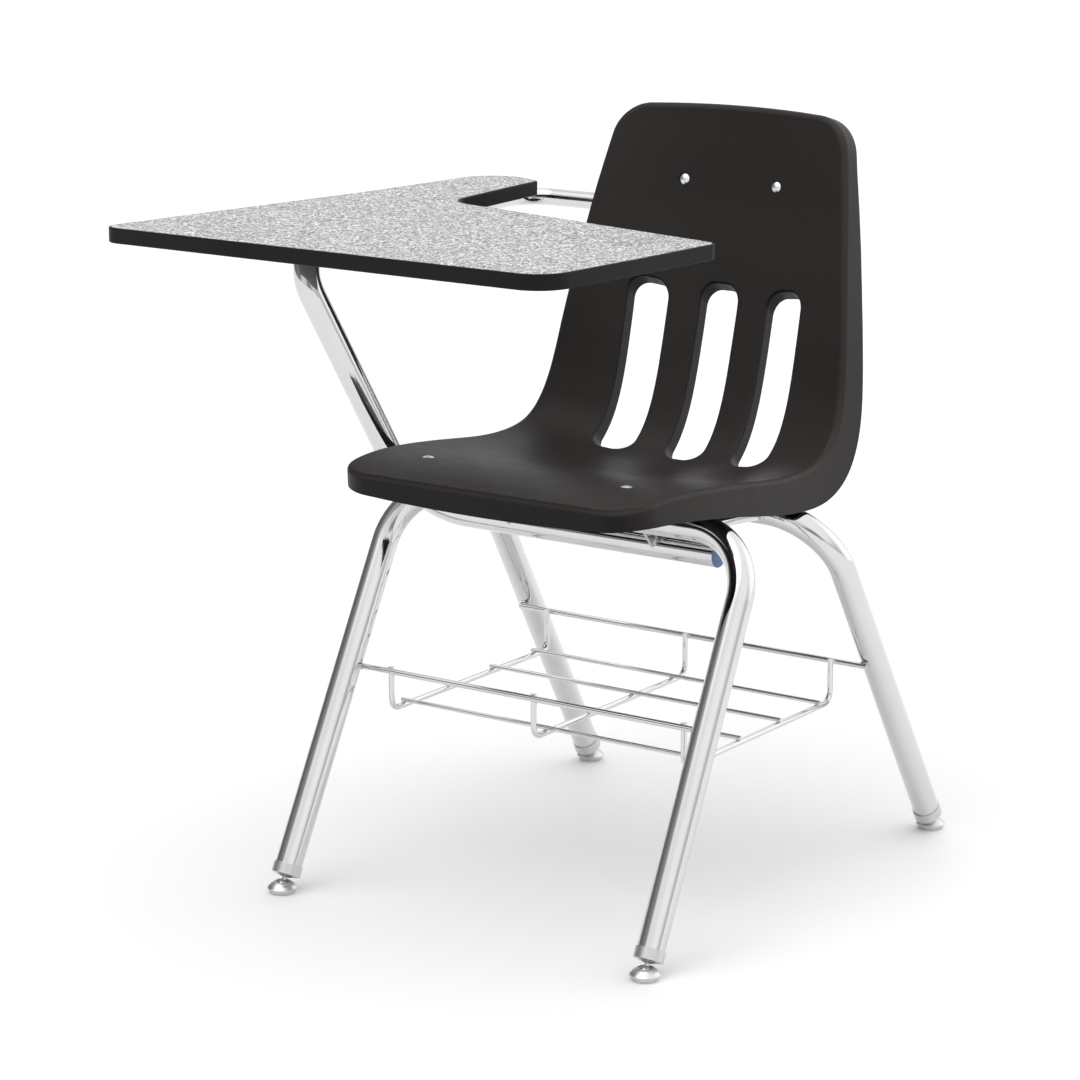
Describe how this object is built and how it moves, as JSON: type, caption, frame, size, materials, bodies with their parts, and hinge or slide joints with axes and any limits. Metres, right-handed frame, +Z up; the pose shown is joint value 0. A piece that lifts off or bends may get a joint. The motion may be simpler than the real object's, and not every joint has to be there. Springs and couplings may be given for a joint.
{
  "type": "tablet arm chair",
  "caption": "Classroom chair with a one-piece plastic seat and back on a chromed tube frame, a fixed writing tablet on the right and a wire book rack under the seat.",
  "frame": {"origin": "point on the floor in the chair's mirror plane, below the middle of the seat", "axes": "+Z up; the sitter faces -Y; +X is the sitter's left, so the tablet arm is at -X"},
  "size_m": [0.6412, 0.6542, 0.7891],
  "materials": {
    "shell": "fine-grained charcoal black",
    "chrome": "bright chrome plate on bent tube",
    "chrome_wire": "bright chrome plate on wire",
    "bracket_steel": "dull chrome plate on pressed steel",
    "rivet": "bright, domed",
    "washer": "matte black",
    "spacer": "matte black",
    "plug_blue": "satin slate blue",
    "plug_black": "satin black",
    "board": "raw particle board",
    "laminate": "light grey with fine speckle",
    "backer": "brown backing sheet",
    "edge_band": "satin black moulding",
    "screw": "zinc plated",
    "ferrule": "satin nickel",
    "stud": "zinc plated",
    "socket": "natural nylon",
    "foot": "satin nickel"
  },
  "bodies": {
    "chair": {"seat_shell": "shell", "leg_frame_front": "chrome", "leg_frame_rear": "chrome", "side_link_left": "chrome", "side_link_right": "chrome", "tablet_arm_tube": "chrome", "back_brace_tube": "chrome", "rack_rail_front": "chrome_wire", "rack_rail_rear": "chrome_wire", "rack_cradle_right": "chrome_wire", "rack_cradle_middle": "chrome_wire", "rack_cradle_left": "chrome_wire", "rack_floor_wire_1": "chrome_wire", "rack_floor_wire_2": "chrome_wire", "rack_floor_wire_3": "chrome_wire", "rack_floor_wire_4": "chrome_wire", "seat_rail_left": "bracket_steel", "seat_rail_right": "bracket_steel", "arm_gusset_left": "bracket_steel", "arm_gusset_right": "bracket_steel", "mounting_plate_front": "bracket_steel", "mounting_plate_rear": "bracket_steel", "seat_rivet_left": "rivet", "seat_rivet_right": "rivet", "back_rivet_left": "rivet", "back_rivet_right": "rivet", "seat_washer_left": "washer", "seat_washer_right": "washer", "back_spacer_left": "spacer", "back_spacer_right": "spacer", "arm_plug_low": "plug_blue", "arm_plug_rear": "plug_black", "brace_plug_front": "plug_black", "brace_plug_end": "plug_black", "tablet_core": "board", "tablet_laminate": "laminate", "tablet_backer": "backer", "tablet_edge_band": "edge_band", "tablet_screws_front": "screw", "tablet_screws_rear": "screw", "glide_ferrule_front_right": "ferrule", "glide_stud_front_right": "stud", "glide_ferrule_front_left": "ferrule", "glide_stud_front_left": "stud", "glide_ferrule_rear_right": "ferrule", "glide_stud_rear_right": "stud", "glide_ferrule_rear_left": "ferrule", "glide_stud_rear_left": "stud"},
    "socket_front_right": {"glide_socket_front_right": "socket"},
    "foot_front_right": {"glide_foot_front_right": "foot"},
    "socket_front_left": {"glide_socket_front_left": "socket"},
    "foot_front_left": {"glide_foot_front_left": "foot"},
    "socket_rear_right": {"glide_socket_rear_right": "socket"},
    "foot_rear_right": {"glide_foot_rear_right": "foot"},
    "socket_rear_left": {"glide_socket_rear_left": "socket"},
    "foot_rear_left": {"glide_foot_rear_left": "foot"}
  },
  "joints": [
    {"name": "tilt_front_right", "type": "hinge", "parent": "chair", "child": "socket_front_right", "pos_m": [-0.2268, -0.3202, 0.008], "axis": [1, 0, 0], "range_deg": [-5, 5]},
    {"name": "turn_front_right", "type": "hinge", "parent": "socket_front_right", "child": "foot_front_right", "pos_m": [-0.2268, -0.3202, 0.008], "axis": [0, 0, 1], "continuous": true},
    {"name": "tilt_front_left", "type": "hinge", "parent": "chair", "child": "socket_front_left", "pos_m": [0.2268, -0.3202, 0.008], "axis": [1, 0, 0], "range_deg": [-5, 5]},
    {"name": "turn_front_left", "type": "hinge", "parent": "socket_front_left", "child": "foot_front_left", "pos_m": [0.2268, -0.3202, 0.008], "axis": [0, 0, 1], "continuous": true},
    {"name": "tilt_rear_right", "type": "hinge", "parent": "chair", "child": "socket_rear_right", "pos_m": [-0.2268, 0.2575, 0.008], "axis": [1, 0, 0], "range_deg": [-5, 5]},
    {"name": "turn_rear_right", "type": "hinge", "parent": "socket_rear_right", "child": "foot_rear_right", "pos_m": [-0.2268, 0.2575, 0.008], "axis": [0, 0, 1], "continuous": true},
    {"name": "tilt_rear_left", "type": "hinge", "parent": "chair", "child": "socket_rear_left", "pos_m": [0.2268, 0.2575, 0.008], "axis": [1, 0, 0], "range_deg": [-5, 5]},
    {"name": "turn_rear_left", "type": "hinge", "parent": "socket_rear_left", "child": "foot_rear_left", "pos_m": [0.2268, 0.2575, 0.008], "axis": [0, 0, 1], "continuous": true}
  ]
}
